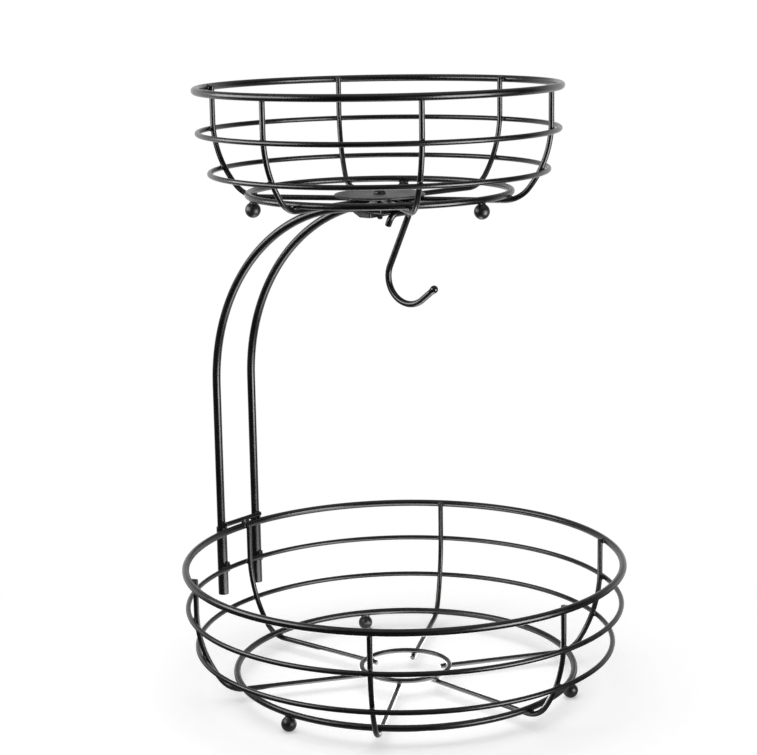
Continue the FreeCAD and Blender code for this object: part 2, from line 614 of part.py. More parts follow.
# Banana hook: a short leg, a bridge welded to the front bar, a long shank that leans back,
# a curl that opens to the front, and a straight lip that swells into a round end. The wire
# is bent in two planes, so its path is drawn in space.
def hook():
    lean = math.radians(val("hook_lean"))
    down = V(0, math.sin(lean), -math.cos(lean))
    inner = V(0, -math.cos(lean), -math.sin(lean))
    half = val("hook_pitch") / 2
    corner = val("hook_corner")
    top = val("hook_top")
    back = val("hook_back")
    curl = val("hook_curl")
    left = V(-half, back, top)
    right = V(half, back, top)
    tail = left + down * val("hook_tail")
    bend = corner * (1 - math.sqrt(0.5))
    path = [Part.makeLine(tail, left + down * corner)]
    middle = left + down * bend + V(bend, 0, 0)
    path.append(Part.Arc(left + down * corner, middle, left + V(corner, 0, 0)).toShape())
    path.append(Part.makeLine(left + V(corner, 0, 0), right - V(corner, 0, 0)))
    middle = right + down * bend - V(bend, 0, 0)
    path.append(Part.Arc(right - V(corner, 0, 0), middle, right + down * corner).toShape())
    start = right + down * val("hook_shank")
    path.append(Part.makeLine(right + down * corner, start))
    # the curl is turned about its own centre, in the plane of the shank
    hub = start + inner * curl
    turn = math.radians(val("hook_turn"))
    spots = []
    for part in (0.5, 1.0):
        a = turn * part
        spots.append(hub - inner * (curl * math.cos(a)) + down * (curl * math.sin(a)))
    path.append(Part.Arc(start, spots[0], spots[1]).toShape())
    away = down * math.cos(turn) + inner * math.sin(turn)
    tip = spots[1] + away * val("hook_lip")
    path.append(Part.makeLine(spots[1], tip))
    section = Part.Wire([Part.makeCircle(val("hook_wire") / 2, tail, down)])
    solid = Part.Wire(path).makePipeShell([section], True, False)
    if solid.Volume < 0:
        solid.reverse()
    # the round end is a ball with a cone behind it, which leaves the wire without a step
    ball = val("hook_ball") / 2
    swell = math.radians(val("hook_swell_degrees"))
    side = V(1, 0, 0)
    thin = val("hook_wire") / 4
    cone = (ball * math.cos(swell) - thin) / math.tan(swell)
    shoulder = tip - away * (ball * math.sin(swell)) + side * (ball * math.cos(swell))
    root = tip - away * (ball * math.sin(swell) + cone)
    nose = tip + away * ball
    outline = Part.Wire([
        Part.makeLine(root, root + side * thin),
        Part.makeLine(root + side * thin, shoulder),
        Part.Arc(shoulder, tip + (away + side) * (ball * math.sqrt(0.5)), nose).toShape(),
        Part.makeLine(nose, root)])
    end = Part.Face(outline).revolve(tip, away, 360)
    shape = solid.fuse(end).removeSplitter()
    cut = [edge for edge in shape.Edges if edge.Closed and edge.CenterOfMass.isEqual(tail, 0.01)]
    shape = shape.makeFillet(val("wire_edge"), cut)
    feature = doc.addObject("Part::Feature", "banana_hook_wire")
    feature.Shape = shape
    feature.Placement = FreeCAD.Placement()
    length = sum(edge.Length for edge in path)
    keep(feature, "banana_hook")
    print("hook wire length %.1f" % length)


hook()

doc.recompute()

# Every object must have come out whole before anything is written
for obj in doc.Objects:
    if "Invalid" in obj.State or "Error" in obj.State:
        raise RuntimeError("%s did not recompute: %s" % (obj.Name, obj.State))
for piece in pieces:
    shape = piece.Shape
    if shape.isNull() or not shape.isValid() or shape.Volume <= 0 or len(shape.Solids) != 1:
        raise RuntimeError("%s has no sound solid" % piece.Label)
for piece in pieces:
    piece.Shape.exportStep("parts/%s.step" % piece.Label)
print("%d pieces written" % len(pieces))
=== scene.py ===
import math

import bpy
import numpy as np
from mathutils import Matrix, Vector


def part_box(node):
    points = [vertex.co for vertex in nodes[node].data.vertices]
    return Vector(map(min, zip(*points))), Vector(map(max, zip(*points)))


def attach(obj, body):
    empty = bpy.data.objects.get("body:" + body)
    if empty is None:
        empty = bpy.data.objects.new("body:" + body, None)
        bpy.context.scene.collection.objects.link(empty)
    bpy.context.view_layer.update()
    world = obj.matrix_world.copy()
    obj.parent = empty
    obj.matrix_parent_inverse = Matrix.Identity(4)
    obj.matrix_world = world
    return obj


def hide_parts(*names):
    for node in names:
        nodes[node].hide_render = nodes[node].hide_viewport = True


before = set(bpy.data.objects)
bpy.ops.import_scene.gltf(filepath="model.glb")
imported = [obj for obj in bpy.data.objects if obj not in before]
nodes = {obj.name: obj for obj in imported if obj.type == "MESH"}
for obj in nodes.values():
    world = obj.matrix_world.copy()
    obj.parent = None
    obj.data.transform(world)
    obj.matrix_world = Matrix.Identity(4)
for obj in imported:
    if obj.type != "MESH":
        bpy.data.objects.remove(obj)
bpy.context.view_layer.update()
MM = 0.001

# Sizes in millimetres that the boxes of the nodes don't give
RIM, HOOP, RIB, BASE, CENTRE = 2.4, 1.7, 1.8, 2.2, 1.8      # wire radii
POST, CROSS, HOOK = 2.9, 1.9, 2.15                          # wire radii
TUBE = 3.7      # outer radius of a socket
BALL = 5.05     # radius of a foot
GAP = 0.05      # air between two welded surfaces
RIB_SHAPE = {"lower": (21.8, 19.4, 3.0), "upper": (21.9, 20.7, 3.0)}   # straight, bend, tuck
WIRES = {"rim": RIM, "upper_hoop": HOOP, "lower_hoop": HOOP, "base_ring": BASE,
         "centre_ring": CENTRE}
RIBS, FEET = 6, 3       # in each bowl
TOP_END = 6.0           # length of the top end by which a rib's angle is measured
SHARP = math.radians(38)    # edges that turn more than this are shaded as edges


# Measures taken from the nodes of model.glb
def corners(name):
    low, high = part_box(name)
    return np.array(low) / MM, np.array(high) / MM


def centre_of(name):
    low, high = corners(name)
    return (low + high) / 2


def ring_of(name):
    """Radius, height and middle of a ring of round wire."""
    low, high = corners(name)
    middle = (low + high) / 2
    return (high[0] - low[0]) / 2 - WIRES[name.split("_", 1)[1]], middle[2], middle[:2]


rings = {name: ring_of(name) for name in
         ["%s_%s" % (bowl, kind) for bowl in ("lower", "upper")
          for kind in ("rim", "upper_hoop", "lower_hoop", "base_ring")] + ["lower_centre_ring"]}


def mesh_points(name):
    mesh = nodes[name].data
    co = np.zeros(len(mesh.vertices) * 3, np.float32)
    mesh.vertices.foreach_get("co", co)
    return co.reshape(-1, 3).astype(float) / MM


def direction(name, middle):
    """The angle of a piece about the axis of its bowl. A rib is measured at its top end."""
    points = mesh_points(name)
    end = points[points[:, 2] > points[:, 2].max() - TOP_END] if "_rib_" in name else points
    spot = (end.min(0) + end.max(0)) / 2
    return math.atan2(spot[1] - middle[1], spot[0] - middle[0])


# Distance fields, in millimetres
def torus(radius, height, wire):
    def field(p):
        out = np.hypot(p[..., 0], p[..., 1]) - radius
        return np.hypot(out, p[..., 2] - height) - wire
    return field


def ball(centre, radius):
    def field(p):
        return np.linalg.norm(p - np.array(centre), axis=-1) - radius
    return field


def rod(a, b, radius):
    """A straight rod with flat ends."""
    a, b = np.array(a, float), np.array(b, float)
    length = np.linalg.norm(b - a)
    way = (b - a) / length

    def field(p):
        along = (p - a) @ way
        off = np.linalg.norm((p - a) - along[..., None] * way, axis=-1) - radius
        end = np.abs(along - length / 2) - length / 2
        inside = np.minimum(np.maximum(off, end), 0)
        return inside + np.hypot(np.maximum(off, 0), np.maximum(end, 0))
    return field


def block(centre, half, turn):
    """A box turned about the upright axis."""
    centre, half = np.array(centre, float), np.array(half, float)
    c, s = math.cos(turn), math.sin(turn)

    def field(p):
        q = p - centre
        q = np.stack([c * q[..., 0] + s * q[..., 1], c * q[..., 1] - s * q[..., 0], q[..., 2]], -1)
        q = np.abs(q) - half
        return np.linalg.norm(np.maximum(q, 0), axis=-1) + np.minimum(q.max(-1), 0)
    return field


class RibLine:
    """The bent line of a rib in its own upright plane: straight, wide arc, tight arc, level."""

    def __init__(self, bowl):
        straight, self.bend, tuck = RIB_SHAPE[bowl]
        rim_radius, rim_height, _ = rings[bowl + "_rim"]
        low, high = corners(bowl + "_rib_1")
        self.side = rim_radius - RIM - RIB - GAP
        self.knee = rim_height - straight
        self.top = high[2]
        self.floor = low[2] + RIB
        self.level = rings[bowl + "_base_ring"][0] - tuck
        run, drop = self.side - self.level, self.knee - self.floor
        self.sweep = (run ** 2 + drop ** 2 - 2 * drop * self.bend) / (2 * (run - self.bend))
        self.wide = np.array([self.side - self.sweep, self.knee])
        self.tight = np.array([self.level, self.floor + self.bend])
        self.meet = math.atan2(*(self.tight - self.wide)[::-1])

    def nearest(self, q):
        """The point of the line that is nearest to q, both as (radius, height)."""
        q = np.asarray(q, float)
        spots = [np.stack([np.full(q.shape[:-1], self.side),
                           np.maximum(q[..., 1], self.knee)], -1),
                 np.stack([np.clip(q[..., 0], 0, self.level),
                           np.full(q.shape[:-1], self.floor)], -1)]
        for hub, radius, low, high in ((self.wide, self.sweep, self.meet, 0.0),
                                       (self.tight, self.bend, -math.pi / 2, self.meet)):
            angle = np.clip(np.arctan2(q[..., 1] - hub[1], q[..., 0] - hub[0]), low, high)
            spots.append(hub + radius * np.stack([np.cos(angle), np.sin(angle)], -1))
        spots = np.stack(spots)
        which = np.linalg.norm(spots - q, axis=-1).argmin(0)
        return np.take_along_axis(spots, which[None, ..., None], 0)[0]

    def field(self, p):
        q = np.stack([p[..., 0], p[..., 2]], -1)
        off = np.linalg.norm(q - self.nearest(q), axis=-1)
        return np.maximum(np.hypot(off, p[..., 1]) - RIB, p[..., 2] - self.top)


# Meshes from distance fields
def net(values, low, step):
    """Surface of a sampled field: one point in each cell that it crosses, joined by quads."""
    shape = np.array(values.shape) - 1
    inside = values < 0
    total = np.zeros((*shape, 3))
    count = np.zeros(shape)
    edges = []
    for axis in range(3):
        a = [slice(None)] * 3
        b = [slice(None)] * 3
        a[axis], b[axis] = slice(0, -1), slice(1, None)
        va, vb = values[tuple(a)], values[tuple(b)]
        hit = np.argwhere(inside[tuple(a)] != inside[tuple(b)])
        fa, fb = va[tuple(hit.T)], vb[tuple(hit.T)]
        spot = hit.astype(float)
        spot[:, axis] += fa / (fa - fb)
        u, v = [(1, 2), (2, 0), (0, 1)][axis]
        keep = (hit[:, u] > 0) & (hit[:, v] > 0) & (hit[:, u] < shape[u]) & (hit[:, v] < shape[v])
        edges.append((axis, u, v, hit[keep], fa[keep] < 0))
        for du in (0, 1):
            for dv in (0, 1):
                cell = hit.copy()
                cell[:, u] -= du
                cell[:, v] -= dv
                good = (cell >= 0).all(1) & (cell < shape).all(1)
                np.add.at(total, tuple(cell[good].T), spot[good])
                np.add.at(count, tuple(cell[good].T), 1)
    used = count > 0
    number = np.full(shape, -1)
    number[used] = np.arange(used.sum())
    points = low + step * total[used] / count[used][:, None]
    quads = []
    for axis, u, v, hit, first in edges:
        loop = []
        for du, dv in ((1, 1), (0, 1), (0, 0), (1, 0)):
            cell = hit.copy()
            cell[:, u] -= du
            cell[:, v] -= dv
            loop.append(number[tuple(cell.T)])
        loop = np.stack(loop, 1)
        quads.append(np.where(first[:, None], loop, loop[:, ::-1]))
    return points, np.concatenate(quads)


def skin(field, low, span, step, probe):
    """The surface of a field within a box, with its points drawn onto it in three rounds.
    Also gives the field's slope at each point."""
    size = np.ceil(span / step).astype(int) + 1
    axes = [low[i] + step * np.arange(size[i]) for i in range(3)]
    points, quads = net(field(np.stack(np.meshgrid(*axes, indexing="ij"), -1)), low, step)
    for _ in range(3):
        here = field(points)
        slope = np.stack([field(points + e) - field(points - e) for e in np.eye(3) * probe], -1)
        slope /= 2 * probe
        square = np.maximum((slope ** 2).sum(-1), 0.25)
        points = points - slope * (here / square)[:, None]
    return points, quads, slope


BEAD_STEP = 0.36        # size of a cell of the net
BEAD_LIFT = 0.012       # where it stands less proud than this, it ends
BEAD_SINK = 0.045       # how far its edge dips under the surfaces that it joins
LUMP_WAVES, LUMP_RATE, LUMP_DEPTH = 6, 1.3, 0.05     # unevenness of its width


def bead(one, two, centre, reach, width, spread, seed):
    """The bead between two solids, given by their fields: the part of their smooth union
    that stands proud of both. It is looked for within reach of the centre, and its width
    fades to nothing at the distance spread."""
    centre = np.array(centre, float)
    reach = np.array(reach, float) * np.ones(3)
    spread = np.array(spread, float) * np.ones(3)
    rng = np.random.default_rng(seed)
    waves = rng.normal(0, LUMP_RATE, (LUMP_WAVES, 3))
    phases = rng.uniform(0, 2 * math.pi, LUMP_WAVES)

    def union(p):
        a, b = one(p), two(p)
        fade = np.clip(1 - (((p - centre) / spread) ** 2).sum(-1), 0, 1)
        lumps = 1 + LUMP_DEPTH * np.sin(p @ waves.T + phases).sum(-1)
        k = np.maximum(width * np.sqrt(fade) * lumps, 1e-4)
        h = np.maximum(k - np.abs(a - b), 0) / k
        return np.minimum(a, b) - h * h * k / 4

    points, quads, slope = skin(union, centre - reach, 2 * reach, step=BEAD_STEP, probe=0.02)
    proud = np.minimum(one(points), two(points))
    quads = quads[(proud[quads] > BEAD_LIFT).any(1)]
    used = np.unique(quads)
    number = np.full(len(points), -1)
    number[used] = np.arange(len(used))
    points, slope, proud = points[used], slope[used], proud[used]
    slope /= np.linalg.norm(slope, axis=1)[:, None]
    sink = np.where(proud < BEAD_LIFT, BEAD_SINK, 0.0)
    return points - slope * sink[:, None], number[quads]


def turned(shape, angle, shift):
    """A shape turned about the upright axis and moved."""
    points, quads = shape
    c, s = math.cos(angle), math.sin(angle)
    x = c * points[:, 0] - s * points[:, 1] + shift[0]
    y = s * points[:, 0] + c * points[:, 1] + shift[1]
    return np.stack([x, y, points[:, 2]], 1), quads


def piece(name, shapes, material):
    """One object from a list of (points in mm, faces)."""
    points, faces, start = [], [], 0
    for p, q in shapes:
        points.append(np.asarray(p, float))
        faces.extend((np.asarray(f) + start).tolist() for f in q)
        start += len(p)
    mesh = bpy.data.meshes.new(name)
    mesh.from_pydata((np.concatenate(points) * MM).tolist(), [], faces)
    mesh.update()
    mesh.polygons.foreach_set("use_smooth", [True] * len(mesh.polygons))
    obj = bpy.data.objects.new(name, mesh)
    bpy.context.scene.collection.objects.link(obj)
    mesh.materials.append(material)
    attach(obj, "root")
    return obj


def crisp(obj):
    """Splits the shading of a smooth object along its sharp edges."""
    edge = obj.modifiers.new("edges", "EDGE_SPLIT")
    edge.split_angle = SHARP


# Node helpers
def node_tree(name):
    material = bpy.data.materials.new(name)
    material.use_nodes = True
    tree = material.node_tree
    return material, tree, tree.nodes["Principled BSDF"]


def add(tree, kind, **values):
    node = tree.nodes.new(kind)
    for key, value in values.items():
        if key in node.inputs:
            node.inputs[key].default_value = value
        else:
            setattr(node, key, value)
    return node


def link(tree, operation, *sockets):
    """One value worked out from others, each a socket or a float."""
    node = add(tree, "ShaderNodeMath", operation=operation)
    for place, socket in zip(node.inputs, sockets):
        if isinstance(socket, float):
            place.default_value = socket
        else:
            tree.links.new(socket, place)
    return node.outputs[0]


def between(tree, value, low, high, a, b, kind="SMOOTHSTEP"):
    """A step from a to b while the value goes from low to high."""
    node = add(tree, "ShaderNodeMapRange", interpolation_type=kind)
    for key, number in (("From Min", low), ("From Max", high), ("To Min", a), ("To Max", b)):
        node.inputs[key].default_value = number
    tree.links.new(value, node.inputs["Value"])
    return node.outputs["Result"]


def noise(tree, coord, scale, detail, rough):
    node = add(tree, "ShaderNodeTexNoise", Scale=scale, Detail=detail, Roughness=rough)
    tree.links.new(coord, node.inputs["Vector"])
    return node.outputs["Fac"]


def ramp(tree, fac, stops):
    node = tree.nodes.new("ShaderNodeValToRGB")
    elements = node.color_ramp.elements
    while len(elements) < len(stops):
        elements.new(0.5)
    for element, (spot, colour) in zip(elements, stops):
        element.position = spot
        element.color = (*colour, 1)
    tree.links.new(fac, node.inputs["Fac"])
    return node.outputs["Color"]


# Materials
# Waves in a metre: the uneven film, the orange peel and the grain
FILM_SCALE, PEEL_SCALE, GRAIN_SCALE = 55.0, 480.0, 2600.0


def powder_coat(name, dark, light, rough, peel, seed):
    """Satin black powder coat: an uneven film with orange peel, of the height peel in metres,
    and a fine grain in it."""
    material, tree, shader = node_tree(name)
    coord = add(tree, "ShaderNodeTexCoord").outputs["Object"]
    shift = add(tree, "ShaderNodeMapping")
    shift.inputs["Location"].default_value = (seed * 0.37, seed * 0.11, seed * 0.23)
    tree.links.new(coord, shift.inputs["Vector"])
    coord = shift.outputs["Vector"]
    cloud = noise(tree, coord, FILM_SCALE, detail=4.0, rough=0.6)
    grain = noise(tree, coord, GRAIN_SCALE, detail=2.0, rough=0.6)
    orange = noise(tree, coord, PEEL_SCALE, detail=2.0, rough=0.45)
    tree.links.new(ramp(tree, cloud, [(0.3, dark), (0.7, light)]), shader.inputs["Base Color"])
    mixed = link(tree, "MULTIPLY_ADD", grain, 0.35, cloud)
    tree.links.new(between(tree, mixed, 0.45, 0.9, rough - 0.05, rough + 0.06, "LINEAR"),
                   shader.inputs["Roughness"])
    bump = add(tree, "ShaderNodeBump", Strength=1.0, Distance=peel)
    tree.links.new(orange, bump.inputs["Height"])
    fine = add(tree, "ShaderNodeBump", Strength=0.5, Distance=peel * 0.2)
    tree.links.new(grain, fine.inputs["Height"])
    tree.links.new(bump.outputs["Normal"], fine.inputs["Normal"])
    tree.links.new(fine.outputs["Normal"], shader.inputs["Normal"])
    shader.inputs["IOR"].default_value = 1.5
    shader.inputs["Specular IOR Level"].default_value = 0.5
    shader.inputs["Metallic"].default_value = 0.0
    return material


def screw_black():
    """Black oxide on steel: a thin dark film, slightly oily, with a fine grain."""
    material, tree, shader = node_tree("screw_black_oxide")
    coord = add(tree, "ShaderNodeTexCoord").outputs["Object"]
    cloud = noise(tree, coord, 420.0, detail=4.0, rough=0.6)
    grain = noise(tree, coord, 5200.0, detail=2.0, rough=0.5)
    tones = [(0.3, (0.018, 0.018, 0.019)), (0.7, (0.034, 0.033, 0.033))]
    tree.links.new(ramp(tree, cloud, tones), shader.inputs["Base Color"])
    tree.links.new(between(tree, cloud, 0.3, 0.7, 0.3, 0.48, "LINEAR"),
                   shader.inputs["Roughness"])
    bump = add(tree, "ShaderNodeBump", Strength=0.8, Distance=0.00001)
    tree.links.new(grain, bump.inputs["Height"])
    tree.links.new(bump.outputs["Normal"], shader.inputs["Normal"])
    shader.inputs["Metallic"].default_value = 0.6
    return material


wire_black = powder_coat("wire_powder_coat", (0.0052, 0.0051, 0.0054), (0.0072, 0.0070, 0.0072),
                         rough=0.27, peel=0.000006, seed=1)
hoop_black = powder_coat("hoop_powder_coat", (0.0050, 0.0050, 0.0052), (0.0070, 0.0068, 0.0070),
                         rough=0.28, peel=0.000006, seed=2)
post_black = powder_coat("post_powder_coat", (0.0052, 0.0051, 0.0054), (0.0074, 0.0072, 0.0074),
                         rough=0.26, peel=0.000006, seed=3)
weld_black = powder_coat("weld_powder_coat", (0.0052, 0.0051, 0.0054), (0.0080, 0.0078, 0.0080),
                         rough=0.31, peel=0.000013, seed=4)
foot_black = powder_coat("foot_powder_coat", (0.0050, 0.0050, 0.0054), (0.0072, 0.0070, 0.0072),
                         rough=0.37, peel=0.000006, seed=5)
sheet_black = powder_coat("sheet_powder_coat", (0.0052, 0.0052, 0.0056), (0.0080, 0.0078, 0.0080),
                          rough=0.42, peel=0.000012, seed=6)
screw_steel = screw_black()


def coat_of(name):
    """The material of a CAD node."""
    if "hoop" in name or "base_ring" in name or "centre_ring" in name:
        return hoop_black
    if name.startswith("post") or name.endswith("cross_bar"):
        return post_black
    if "_foot_" in name:
        return foot_black
    if name in ("centre_disc", "saddle_plate"):
        return sheet_black
    if name == "clamp_screw":
        return screw_steel
    return wire_black


for name, obj in nodes.items():
    obj.data.materials.clear()
    obj.data.materials.append(coat_of(name))
    obj.data.polygons.foreach_set("use_smooth", [True] * len(obj.data.polygons))
    crisp(obj)


# Weld beads of the bowls. Each is made at the angle 0 and turned to its place.
DISC_WELD = 24.0    # distance of the disc's beads from the axis
lines = {bowl: RibLine(bowl) for bowl in ("lower", "upper")}


def ring_welds(ring):
    """Where the ribs cross a ring."""
    radius, height, middle = rings[ring]
    bowl, kind = ring.split("_", 1)
    hub = np.array([radius, height])
    way = lines[bowl].nearest(hub) - hub
    contact = hub + way / np.linalg.norm(way) * (WIRES[kind] + GAP / 2)
    beads = []
    for number in range(1, RIBS + 1):
        shape = bead(torus(radius, height, WIRES[kind]), lines[bowl].field,
                     (contact[0], 0, contact[1]), reach=5.2, width=1.9, spread=5.0, seed=number)
        beads.append(turned(shape, direction("%s_rib_%d" % (bowl, number), middle), middle))
    piece(ring + "_welds", beads, weld_black)


def foot_welds(bowl):
    """Between the base ring and the ball feet."""
    radius, height, middle = rings[bowl + "_base_ring"]
    beads = []
    for number in range(1, FEET + 1):
        name = "%s_foot_%d" % (bowl, number)
        top = corners(name)[1][2]
        shape = bead(torus(radius, height, BASE), ball((radius, 0, top - BALL), BALL),
                     (radius, 0, top), reach=(4.6, 6.0, 3.6), width=2.2,
                     spread=(6.0, 6.5, 5.0), seed=10 + number)
        beads.append(turned(shape, direction(name, middle), middle))
    piece(bowl + "_foot_welds", beads, weld_black)


def disc_welds():
    """Between the centre disc and the ribs that it lies on."""
    low, high = corners("centre_disc")
    middle = rings["upper_base_ring"][2]
    sheet = rod((0, 0, low[2]), (0, 0, high[2]), (high[0] - low[0]) / 2)
    beads = []
    for number in range(1, RIBS + 1):
        shape = bead(lines["upper"].field, sheet, (DISC_WELD, 0, low[2]),
                     reach=(7.6, 3.6, 2.6), width=1.5, spread=(7.0, 5.0, 5.0),
                     seed=50 + number)
        beads.append(turned(shape, direction("upper_rib_%d" % number, middle), middle))
    piece("disc_welds", beads, weld_black)


for ring in rings:
    ring_welds(ring)
for bowl in ("lower", "upper"):
    foot_welds(bowl)

# Weld beads of the stand
REAR_SPOT = 2.0         # how far to the right the rear bar's bead on the rim lies
TAB = (3.0, 1.5, 3.5)   # half the size of the tab between a socket and the upper hoop
RUNNER_RISE = 1.9       # from the front bar's axis up to that of a post's level end
HOOK_LEAN = math.radians(25.0)  # slope down from the front bar to the hook's bridge
BRIDGE = 8.0            # half the length of the bridge
post_x, post_y = -centre_of("post_left")[0], corners("post_left")[1][1] - POST
tube_low, tube_high = (end[2] for end in corners("post_socket_left"))
rim_radius, rim_height, _ = rings["lower_rim"]
hoop_radius, hoop_height, _ = rings["lower_upper_hoop"]
rim = torus(rim_radius, rim_height, RIM)
hoop = torus(hoop_radius, hoop_height, HOOP)


def cross_bar(name, wire):
    """Where a bar that lies across the posts has its axis (y and z), its end on the right,
    and its field."""
    low, high = corners(name)
    _, y, z = (low + high) / 2
    return y, z, high[0], rod((low[0], y, z), (high[0], y, z), wire)


rear_y, rear_z, _, rear_bar = cross_bar("rear_cross_bar", HOOP)
front_y, front_z, front_end, front_bar = cross_bar("front_cross_bar", CROSS)


def socket_weld(side, inward):
    """Between the rim and a socket."""
    x = side * post_x
    tube = rod((x, post_y, tube_low), (x, post_y, tube_high), TUBE)
    spot = np.array([x, post_y]) + inward * TUBE
    return bead(rim, tube, (*spot, rim_height), reach=(7.0, 6.0, 4.2), width=2.4,
                spread=(8.0, 7.0, 8.0), seed=20 + side)


def tab_weld(side, inward):
    """Between the upper hoop and the tab of a socket."""
    end = -inward * (hoop_radius + HOOP + GAP)
    tab = block((*(end - inward * TAB[0]), hoop_height), TAB, math.atan2(inward[1], inward[0]))
    return bead(hoop, tab, (*end, hoop_height), reach=(4.4, 4.4, 5.0), width=1.8,
                spread=(6.0, 6.0, 6.5), seed=24 + side)


def rear_weld(side):
    """Between a post's straight part and the rear bar."""
    x = side * post_x
    upright = rod((x, post_y, tube_high - 20), (x, post_y, tube_high + 60), POST)
    return bead(upright, rear_bar, (x, post_y - POST, rear_z), reach=5.0, width=2.0,
                spread=5.2, seed=28 + side)


def front_weld(side):
    """Between a post's level end and the front bar."""
    x, z = side * post_x, front_z + RUNNER_RISE
    runner = rod((x, front_y - 8, z), (x, front_y + 30, z), POST)
    return bead(runner, front_bar, (side * front_end, front_y, front_z + 1.0),
                reach=(4.2, 4.6, 5.0), width=1.9, spread=(5.4, 5.4, 6.0), seed=36 + side)


def hook_weld():
    """Between the hook's bridge and the front bar."""
    way = np.array([0.0, -math.cos(HOOK_LEAN), -math.sin(HOOK_LEAN)])
    bar = np.array([0.0, front_y, front_z])
    bridge = bar + way * (CROSS + HOOK + GAP)
    half = np.array([BRIDGE, 0.0, 0.0])
    return bead(rod(bridge - half, bridge + half, HOOK), front_bar, bar + way * CROSS,
                reach=(6.6, 3.6, 3.6), width=1.7, spread=(6.2, 6.0, 6.0), seed=41)


# The rear bar lies on the rim, and the sockets stand at the rim's outside
rim_beads = [bead(rim, rear_bar, (REAR_SPOT, rear_y, (rear_z - HOOP + rim_height + RIM) / 2),
                  reach=(5.0, 4.4, 3.4), width=4.4, spread=(3.6, 6.0, 6.0), seed=32)]
stand_beads = []
for side in (-1, 1):
    inward = np.array([-side * post_x, -post_y]) / math.hypot(post_x, post_y)
    rim_beads += [socket_weld(side, inward), tab_weld(side, inward)]
    stand_beads += [rear_weld(side), front_weld(side)]
piece("socket_welds", rim_beads, weld_black)
piece("cross_bar_welds", stand_beads, weld_black)
piece("hook_weld", [hook_weld()], weld_black)
disc_welds()

# Clamp screw: a domed head with a cross recess, and a thread with a chamfered tip
DOME = 2.6              # roundness of the head: 2 is an ellipse, more is squarer
RECESS_REACH = 2.15     # half the length of the cross at the head's top
RECESS_HALF = 0.5       # half the width of its arms there
RECESS_CORE = 1.15      # radius of its round middle there
RECESS_DEPTH = 1.7
RECESS_TAPER = 0.12     # how much its arms narrow in a millimetre of depth
RECESS_EDGE = 0.22      # rounding along its edge
THREAD, PITCH, DEPTH, CHAMFER = 2.0, 0.7, 0.38, 1.0     # the thread, by its outer radius
THREAD_LAP = 0.2        # how far it reaches into the head


def screw_head(middle, bottom, radius, height):
    """A dome with a cross recess that narrows downwards."""
    def field(p):
        q = p - np.array([*middle, bottom])
        off = np.hypot(q[..., 0], q[..., 1])
        dome = (off / radius) ** DOME + (np.maximum(q[..., 2], 0) / height) ** DOME
        body = np.maximum((dome ** (1 / DOME) - 1) * height, -q[..., 2])
        taper = (q[..., 2] - height) * RECESS_TAPER
        x, y = np.abs(q[..., 0]), np.abs(q[..., 1])
        arm_x = np.maximum(x - RECESS_REACH - 4 * taper, y - RECESS_HALF - taper)
        arm_y = np.maximum(y - RECESS_REACH - 4 * taper, x - RECESS_HALF - taper)
        core = off - RECESS_CORE - 3 * taper
        cross = np.maximum(np.minimum(np.minimum(arm_x, arm_y), core),
                           height - RECESS_DEPTH - q[..., 2])
        h = np.maximum(RECESS_EDGE - np.abs(body + cross), 0) / RECESS_EDGE
        return np.maximum(body, -cross) + h * h * RECESS_EDGE / 4

    low = np.array([*(middle - radius), bottom]) - 0.4
    span = np.array([2 * radius, 2 * radius, height]) + 0.8
    points, quads, _ = skin(field, low, span, step=0.13, probe=0.01)
    points[:, 2] = np.clip(points[:, 2], bottom, bottom + height)
    return points, quads


def screw_thread(middle, low, high, around=64, rows=14):
    """A closed shank with a thread: points around it, in rows, so many to a pitch."""
    count = int((high - low) / PITCH * rows)
    rise = np.linspace(low, high, count)
    turn = np.linspace(0, 2 * math.pi, around, endpoint=False)
    z, a = np.meshgrid(rise, turn, indexing="ij")
    wave = np.abs(((z / PITCH - a / (2 * math.pi)) % 1.0) * 2 - 1)
    r = THREAD - DEPTH * np.clip(wave * 1.3 - 0.1, 0, 1)
    r = np.minimum(r, THREAD - CHAMFER + (z - low))
    points = np.stack([middle[0] + r * np.cos(a), middle[1] + r * np.sin(a), z], -1)
    faces = []
    for i in range(0, (count - 1) * around, around):
        for j, k in zip(range(around), [*range(1, around), 0]):
            faces.append((i + j, i + k, i + around + k, i + around + j))
    faces.append(tuple(range(around - 1, -1, -1)))
    faces.append(tuple(range((count - 1) * around, count * around)))
    return points.reshape(-1, 3), faces


screw_low, screw_high = corners("clamp_screw")
middle = (screw_low[:2] + screw_high[:2]) / 2
seat = corners("centre_disc")[1][2] + GAP
head = screw_head(middle, seat, (screw_high[0] - screw_low[0]) / 2, screw_high[2] - seat)
screw = piece("screw", [head, screw_thread(middle, screw_low[2], seat + THREAD_LAP)],
              screw_steel)
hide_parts("clamp_screw")
crisp(screw)

# Table and surroundings. The object stands on a small round white table in front of a white
# wall, in a room that is dark on the camera's side, which is what keeps the wires black.
WALL = math.radians(38)     # direction in which the white wall stands
TABLE = 0.38                # radius of the table
TABLE_UNDER = 0.00005       # how far the paper lies under the feet


def behind(tree, spot):
    """From 0 to 1: how far a spot or direction lies on the side of the white wall."""
    flat = add(tree, "ShaderNodeVectorMath", operation="MULTIPLY")
    flat.inputs[1].default_value = (1, 1, 0)
    tree.links.new(spot, flat.inputs[0])
    unit = add(tree, "ShaderNodeVectorMath", operation="NORMALIZE")
    tree.links.new(flat.outputs[0], unit.inputs[0])
    facing = add(tree, "ShaderNodeVectorMath", operation="DOT_PRODUCT")
    facing.inputs[1].default_value = (math.cos(WALL), math.sin(WALL), 0)
    tree.links.new(unit.outputs[0], facing.inputs[0])
    return between(tree, facing.outputs["Value"], 0.25, 0.7, 0.0, 1.0)


